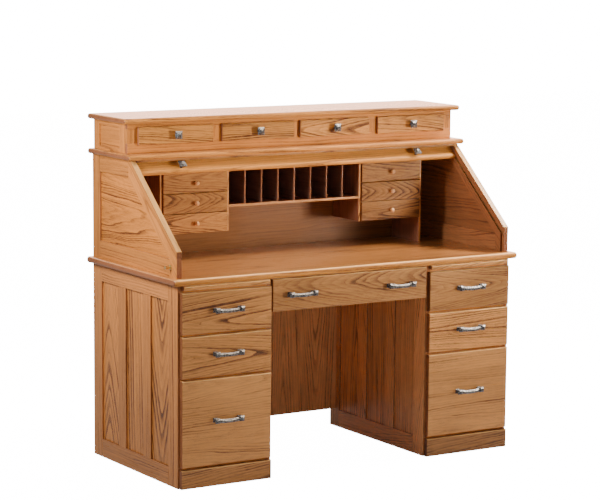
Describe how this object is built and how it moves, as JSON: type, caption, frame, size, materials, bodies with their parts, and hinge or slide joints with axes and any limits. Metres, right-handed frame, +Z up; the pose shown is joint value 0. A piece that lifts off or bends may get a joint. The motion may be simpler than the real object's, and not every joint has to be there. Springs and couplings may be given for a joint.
{
  "type": "roll-top desk",
  "caption": "Oak roll-top desk with a straight-sloped tambour hutch over pigeonholes, a deck of small drawers, and a kneehole between two drawer pedestals.",
  "frame": {"origin": "on the floor under the middle of the desk's outer box", "axes": "+X to the sitter's right, +Y from the sitter to the back, +Z up"},
  "size_m": [1.524, 0.72, 1.32],
  "materials": {
    "oak": "satin lacquer",
    "pewter": "antiqued pewter",
    "brass": "satin",
    "canvas": "plain weave"
  },
  "bodies": {
    "carcass": {"desktop": "oak", "left_outer_side": "oak", "left_inner_side": "oak", "right_inner_side": "oak", "right_outer_side": "oak", "left_pedestal_frame": "oak", "right_pedestal_frame": "oak", "left_plinth": "oak", "right_plinth": "oak", "modesty_panel": "oak", "centre_runners": "oak", "left_hutch_side": "oak", "right_hutch_side": "oak", "hutch_back": "oak", "middle_shelf": "oak", "tambour_fascia": "oak", "deck_frame": "oak", "top_board": "oak", "pigeonhole_case": "oak", "slot_dividers": "oak", "pigeonhole_back": "oak", "tambour_slats": "oak", "tambour_canvas": "canvas", "lock_bezel": "brass"},
    "left_top_drawer": {"left_top_drawer": "oak", "left_top_pull": "pewter"},
    "left_middle_drawer": {"left_middle_drawer": "oak", "left_middle_pull": "pewter"},
    "left_file_drawer": {"left_file_drawer": "oak", "left_file_pull": "pewter"},
    "left_writing_slide": {"left_writing_slide": "oak"},
    "right_top_drawer": {"right_top_drawer": "oak", "right_top_pull": "pewter"},
    "right_middle_drawer": {"right_middle_drawer": "oak", "right_middle_pull": "pewter"},
    "right_file_drawer": {"right_file_drawer": "oak", "right_file_pull": "pewter"},
    "right_writing_slide": {"right_writing_slide": "oak"},
    "centre_drawer": {"centre_drawer": "oak", "centre_pulls": "pewter"},
    "far_left_deck_drawer": {"far_left_deck_drawer": "oak", "far_left_deck_knob": "pewter"},
    "near_left_deck_drawer": {"near_left_deck_drawer": "oak", "near_left_deck_knob": "pewter"},
    "near_right_deck_drawer": {"near_right_deck_drawer": "oak", "near_right_deck_knob": "pewter"},
    "far_right_deck_drawer": {"far_right_deck_drawer": "oak", "far_right_deck_knob": "pewter"},
    "left_low_small_drawer": {"left_low_small_drawer": "oak"},
    "left_mid_small_drawer": {"left_mid_small_drawer": "oak"},
    "left_high_small_drawer": {"left_high_small_drawer": "oak"},
    "right_low_small_drawer": {"right_low_small_drawer": "oak"},
    "right_mid_small_drawer": {"right_mid_small_drawer": "oak"},
    "right_high_small_drawer": {"right_high_small_drawer": "oak"},
    "leading_slat": {"leading_slat": "oak"},
    "lift_rail": {"lift_rail": "oak", "lift_knobs": "pewter"},
    "lock_plunger": {"lock_plunger": "brass"}
  },
  "joints": [
    {"name": "left_top_drawer_slide", "type": "slide", "parent": "carcass", "child": "left_top_drawer", "axis": [0, -1, 0], "range_m": [0, 0.43]},
    {"name": "left_middle_drawer_slide", "type": "slide", "parent": "carcass", "child": "left_middle_drawer", "axis": [0, -1, 0], "range_m": [0, 0.43]},
    {"name": "left_file_drawer_slide", "type": "slide", "parent": "carcass", "child": "left_file_drawer", "axis": [0, -1, 0], "range_m": [0, 0.48]},
    {"name": "left_writing_slide_slide", "type": "slide", "parent": "carcass", "child": "left_writing_slide", "axis": [0, -1, 0], "range_m": [0, 0.36]},
    {"name": "right_top_drawer_slide", "type": "slide", "parent": "carcass", "child": "right_top_drawer", "axis": [0, -1, 0], "range_m": [0, 0.43]},
    {"name": "right_middle_drawer_slide", "type": "slide", "parent": "carcass", "child": "right_middle_drawer", "axis": [0, -1, 0], "range_m": [0, 0.43]},
    {"name": "right_file_drawer_slide", "type": "slide", "parent": "carcass", "child": "right_file_drawer", "axis": [0, -1, 0], "range_m": [0, 0.48]},
    {"name": "right_writing_slide_slide", "type": "slide", "parent": "carcass", "child": "right_writing_slide", "axis": [0, -1, 0], "range_m": [0, 0.36]},
    {"name": "centre_drawer_slide", "type": "slide", "parent": "carcass", "child": "centre_drawer", "axis": [0, -1, 0], "range_m": [0, 0.33]},
    {"name": "far_left_deck_drawer_slide", "type": "slide", "parent": "carcass", "child": "far_left_deck_drawer", "axis": [0, -1, 0], "range_m": [0, 0.17]},
    {"name": "near_left_deck_drawer_slide", "type": "slide", "parent": "carcass", "child": "near_left_deck_drawer", "axis": [0, -1, 0], "range_m": [0, 0.17]},
    {"name": "near_right_deck_drawer_slide", "type": "slide", "parent": "carcass", "child": "near_right_deck_drawer", "axis": [0, -1, 0], "range_m": [0, 0.17]},
    {"name": "far_right_deck_drawer_slide", "type": "slide", "parent": "carcass", "child": "far_right_deck_drawer", "axis": [0, -1, 0], "range_m": [0, 0.17]},
    {"name": "left_low_small_drawer_slide", "type": "slide", "parent": "carcass", "child": "left_low_small_drawer", "axis": [0, -1, 0], "range_m": [0, 0.13]},
    {"name": "left_mid_small_drawer_slide", "type": "slide", "parent": "carcass", "child": "left_mid_small_drawer", "axis": [0, -1, 0], "range_m": [0, 0.13]},
    {"name": "left_high_small_drawer_slide", "type": "slide", "parent": "carcass", "child": "left_high_small_drawer", "axis": [0, -1, 0], "range_m": [0, 0.13]},
    {"name": "right_low_small_drawer_slide", "type": "slide", "parent": "carcass", "child": "right_low_small_drawer", "axis": [0, -1, 0], "range_m": [0, 0.13]},
    {"name": "right_mid_small_drawer_slide", "type": "slide", "parent": "carcass", "child": "right_mid_small_drawer", "axis": [0, -1, 0], "range_m": [0, 0.13]},
    {"name": "right_high_small_drawer_slide", "type": "slide", "parent": "carcass", "child": "right_high_small_drawer", "axis": [0, -1, 0], "range_m": [0, 0.13]},
    {"name": "tambour_slide", "type": "slide", "parent": "carcass", "child": "leading_slat", "axis": [0, 0.7679, 0.6406], "range_m": [-0.48391, 0], "deforming": ["tambour_slats", "tambour_canvas"]},
    {"name": "lift_rail_hinge", "type": "hinge", "parent": "leading_slat", "child": "lift_rail", "pos_m": [0, 0.08172, 1.158], "axis": [-1, 0, 0], "range_deg": [-50.17, 0]},
    {"name": "lock_push", "type": "slide", "parent": "carcass", "child": "lock_plunger", "axis": [-1, 0, 0], "range_m": [-0.01, 0]}
  ],
  "couplings": [
    {"joint": "lift_rail_hinge", "follows": "tambour_slide", "rad_per_m": 1.8092}
  ]
}
